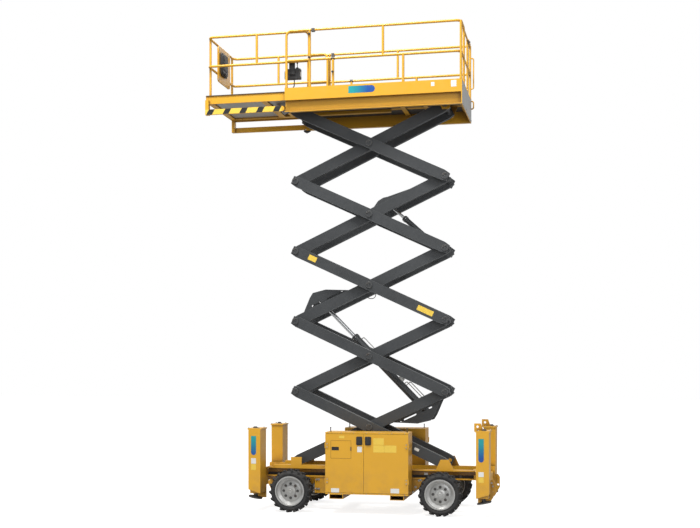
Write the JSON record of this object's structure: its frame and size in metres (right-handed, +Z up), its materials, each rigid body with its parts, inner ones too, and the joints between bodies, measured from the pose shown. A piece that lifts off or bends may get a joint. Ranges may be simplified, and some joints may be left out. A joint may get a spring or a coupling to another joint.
{
  "type": "scissor lift",
  "caption": "Self-propelled rough-terrain scissor lift: five crossed arm stages, railed deck with roll-out front, outriggers, side cabinets and steered lugged wheels.",
  "frame": {"origin": "bottom centre of the machine's bounding box, on the ground", "axes": "+X forward towards the roll-out deck end, +Y to the machine's left, +Z up"},
  "size_m": [4.938, 1.8, 8.1413],
  "materials": {
    "paint": "gloss yellow-orange paint",
    "arm_paint": "satin dark grey paint",
    "rim_silver": "silver paint",
    "tyre_black": "matt black rubber",
    "steel": "dark steel",
    "rod_chrome": "hard chrome",
    "black": "black"
  },
  "bodies": {
    "chassis": {"chassis_frame": "paint", "fork_pockets": "paint", "tie_down_eyes": "paint", "cabinet_left": "paint", "cabinet_right": "paint", "engine_block": "steel", "front_axle": "steel", "rear_axle": "steel", "outrigger_front_left": "paint", "outrigger_front_right": "paint", "outrigger_rear_left": "paint", "outrigger_rear_right": "paint"},
    "platform": {"main_deck": "paint", "main_guardrail": "paint"},
    "extension": {"extension_deck": "paint", "extension_guardrail": "paint", "control_box": "black", "front_panel": "paint"},
    "gate": {"entry_gate": "paint"},
    "inner_arm_1": {"inner_arm_1": "arm_paint"},
    "outer_arm_1": {"outer_arm_1": "arm_paint"},
    "inner_arm_2": {"inner_arm_2": "arm_paint"},
    "outer_arm_2": {"outer_arm_2": "arm_paint"},
    "inner_arm_3": {"inner_arm_3": "arm_paint"},
    "outer_arm_3": {"outer_arm_3": "arm_paint"},
    "inner_arm_4": {"inner_arm_4": "arm_paint"},
    "outer_arm_4": {"outer_arm_4": "arm_paint"},
    "inner_arm_5": {"inner_arm_5": "arm_paint"},
    "outer_arm_5": {"outer_arm_5": "arm_paint"},
    "lower_barrel": {"lower_cylinder_barrel": "arm_paint"},
    "lower_rod": {"lower_cylinder_rod": "rod_chrome"},
    "upper_barrel": {"upper_cylinder_barrel": "arm_paint"},
    "upper_rod": {"upper_cylinder_rod": "rod_chrome"},
    "knuckle_left": {"knuckle_left": "steel"},
    "wheel_front_left": {"tyre_front_left": "tyre_black", "rim_front_left": "rim_silver"},
    "leg_front_left": {"leg_front_left": "steel"},
    "door_left_front": {"door_left_front": "paint"},
    "wheel_rear_left": {"tyre_rear_left": "tyre_black", "rim_rear_left": "rim_silver"},
    "leg_rear_left": {"leg_rear_left": "steel"},
    "door_left_rear": {"door_left_rear": "paint"},
    "knuckle_right": {"knuckle_right": "steel"},
    "wheel_front_right": {"tyre_front_right": "tyre_black", "rim_front_right": "rim_silver"},
    "leg_front_right": {"leg_front_right": "steel"},
    "door_right_front": {"door_right_front": "paint"},
    "wheel_rear_right": {"tyre_rear_right": "tyre_black", "rim_rear_right": "rim_silver"},
    "leg_rear_right": {"leg_rear_right": "steel"},
    "door_right_rear": {"door_right_rear": "paint"}
  },
  "joints": [
    {"name": "lift", "type": "hinge", "parent": "chassis", "child": "outer_arm_1", "pos_m": [-1.62249, 0, 0.825], "axis": [0, -1, 0], "range_deg": [-21.2, 40]},
    {"name": "inner_arm_1_pivot", "type": "hinge", "parent": "outer_arm_1", "child": "inner_arm_1", "pos_m": [-0.331, 0, 1.42723], "axis": [0, -1, 0], "range_deg": [-80, 42.4]},
    {"name": "inner_arm_2_pivot", "type": "hinge", "parent": "outer_arm_1", "child": "inner_arm_2", "pos_m": [0.96049, 0, 2.02946], "axis": [0, -1, 0], "range_deg": [-80, 42.4]},
    {"name": "outer_arm_2_pivot", "type": "hinge", "parent": "inner_arm_2", "child": "outer_arm_2", "pos_m": [-0.331, 0, 2.63169], "axis": [0, -1, 0], "range_deg": [-42.4, 80]},
    {"name": "outer_arm_3_pivot", "type": "hinge", "parent": "inner_arm_2", "child": "outer_arm_3", "pos_m": [-1.62249, 0, 3.23392], "axis": [0, -1, 0], "range_deg": [-42.4, 80]},
    {"name": "inner_arm_3_pivot", "type": "hinge", "parent": "outer_arm_3", "child": "inner_arm_3", "pos_m": [-0.331, 0, 3.83616], "axis": [0, -1, 0], "range_deg": [-80, 42.4]},
    {"name": "inner_arm_4_pivot", "type": "hinge", "parent": "outer_arm_3", "child": "inner_arm_4", "pos_m": [0.96049, 0, 4.43839], "axis": [0, -1, 0], "range_deg": [-80, 42.4]},
    {"name": "outer_arm_4_pivot", "type": "hinge", "parent": "inner_arm_4", "child": "outer_arm_4", "pos_m": [-0.331, 0, 5.04062], "axis": [0, -1, 0], "range_deg": [-42.4, 80]},
    {"name": "outer_arm_5_pivot", "type": "hinge", "parent": "inner_arm_4", "child": "outer_arm_5", "pos_m": [-1.62249, 0, 5.64285], "axis": [0, -1, 0], "range_deg": [-42.4, 80]},
    {"name": "inner_arm_5_pivot", "type": "hinge", "parent": "outer_arm_5", "child": "inner_arm_5", "pos_m": [-0.331, 0, 6.24508], "axis": [0, -1, 0], "range_deg": [-80, 42.4]},
    {"name": "platform_pivot", "type": "hinge", "parent": "inner_arm_5", "child": "platform", "pos_m": [-1.62249, 0, 6.84731], "axis": [0, -1, 0], "range_deg": [-21.2, 40]},
    {"name": "lower_cylinder_pivot", "type": "hinge", "parent": "inner_arm_1", "child": "lower_barrel", "pos_m": [-1.32484, 0, 1.61482], "axis": [0, -1, 0], "range_deg": [-38.8, 73.2]},
    {"name": "lower_rod_slide", "type": "slide", "parent": "lower_barrel", "child": "lower_rod", "axis": [0.699, 0, 0.7152], "range_m": [-0.59158, 1.1161]},
    {"name": "upper_cylinder_pivot", "type": "hinge", "parent": "inner_arm_3", "child": "upper_barrel", "pos_m": [-1.54092, 0, 4.40035], "axis": [0, -1, 0], "range_deg": [-41.47, 78.24]},
    {"name": "upper_rod_slide", "type": "slide", "parent": "upper_barrel", "child": "upper_rod", "axis": [0.7401, 0, 0.6725], "range_m": [-0.25683, 0.4845]},
    {"name": "extension_slide", "type": "slide", "parent": "platform", "child": "extension", "axis": [1, 0, 0], "range_m": [-1.345, 0]},
    {"name": "gate_hinge", "type": "hinge", "parent": "platform", "child": "gate", "pos_m": [-1.926, 0.252, 7.6], "axis": [0, 0, 1], "range_deg": [0, 90]},
    {"name": "door_left_front_hinge", "type": "hinge", "parent": "chassis", "child": "door_left_front", "pos_m": [0.322, 0.88, 0.845], "axis": [0, 0, -1], "range_deg": [0, 90]},
    {"name": "door_left_rear_hinge", "type": "hinge", "parent": "chassis", "child": "door_left_rear", "pos_m": [-1.076, 0.88, 0.845], "axis": [0, 0, 1], "range_deg": [0, 90]},
    {"name": "steer_left", "type": "hinge", "parent": "chassis", "child": "knuckle_left", "pos_m": [0.934, 0.56, 0.36], "axis": [0, 0, 1], "range_deg": [-30, 30]},
    {"name": "wheel_front_left_spin", "type": "hinge", "parent": "knuckle_left", "child": "wheel_front_left", "pos_m": [0.934, 0.775, 0.36], "axis": [0, 1, 0], "continuous": true},
    {"name": "leg_front_left_slide", "type": "slide", "parent": "chassis", "child": "leg_front_left", "axis": [0, 0, -1], "range_m": [0, 0.4]},
    {"name": "wheel_rear_left_spin", "type": "hinge", "parent": "chassis", "child": "wheel_rear_left", "pos_m": [-1.596, 0.775, 0.36], "axis": [0, 1, 0], "continuous": true},
    {"name": "leg_rear_left_slide", "type": "slide", "parent": "chassis", "child": "leg_rear_left", "axis": [0, 0, -1], "range_m": [0, 0.4]},
    {"name": "door_right_front_hinge", "type": "hinge", "parent": "chassis", "child": "door_right_front", "pos_m": [0.279, -0.88, 0.845], "axis": [0, 0, 1], "range_deg": [0, 90]},
    {"name": "door_right_rear_hinge", "type": "hinge", "parent": "chassis", "child": "door_right_rear", "pos_m": [-1.171, -0.88, 0.845], "axis": [0, 0, -1], "range_deg": [0, 90]},
    {"name": "steer_right", "type": "hinge", "parent": "chassis", "child": "knuckle_right", "pos_m": [0.934, -0.56, 0.36], "axis": [0, 0, 1], "range_deg": [-30, 30]},
    {"name": "wheel_front_right_spin", "type": "hinge", "parent": "knuckle_right", "child": "wheel_front_right", "pos_m": [0.934, -0.775, 0.36], "axis": [0, 1, 0], "continuous": true},
    {"name": "leg_front_right_slide", "type": "slide", "parent": "chassis", "child": "leg_front_right", "axis": [0, 0, -1], "range_m": [0, 0.4]},
    {"name": "wheel_rear_right_spin", "type": "hinge", "parent": "chassis", "child": "wheel_rear_right", "pos_m": [-1.596, -0.775, 0.36], "axis": [0, 1, 0], "continuous": true},
    {"name": "leg_rear_right_slide", "type": "slide", "parent": "chassis", "child": "leg_rear_right", "axis": [0, 0, -1], "range_m": [0, 0.4]}
  ],
  "couplings": [
    {"joint": "inner_arm_1_pivot", "follows": "lift", "ratio": -2},
    {"joint": "inner_arm_2_pivot", "follows": "lift", "ratio": -2},
    {"joint": "outer_arm_2_pivot", "follows": "lift", "ratio": 2},
    {"joint": "outer_arm_3_pivot", "follows": "lift", "ratio": 2},
    {"joint": "inner_arm_3_pivot", "follows": "lift", "ratio": -2},
    {"joint": "inner_arm_4_pivot", "follows": "lift", "ratio": -2},
    {"joint": "outer_arm_4_pivot", "follows": "lift", "ratio": 2},
    {"joint": "outer_arm_5_pivot", "follows": "lift", "ratio": 2},
    {"joint": "inner_arm_5_pivot", "follows": "lift", "ratio": -2},
    {"joint": "platform_pivot", "follows": "lift", "ratio": 1},
    {"joint": "lower_cylinder_pivot", "follows": "lift", "ratio": 1.83},
    {"joint": "lower_rod_slide", "follows": "lift", "m_per_rad": 1.5985},
    {"joint": "upper_cylinder_pivot", "follows": "lift", "ratio": 1.956},
    {"joint": "upper_rod_slide", "follows": "lift", "m_per_rad": 0.69385},
    {"joint": "steer_right", "follows": "steer_left", "ratio": 1}
  ]
}
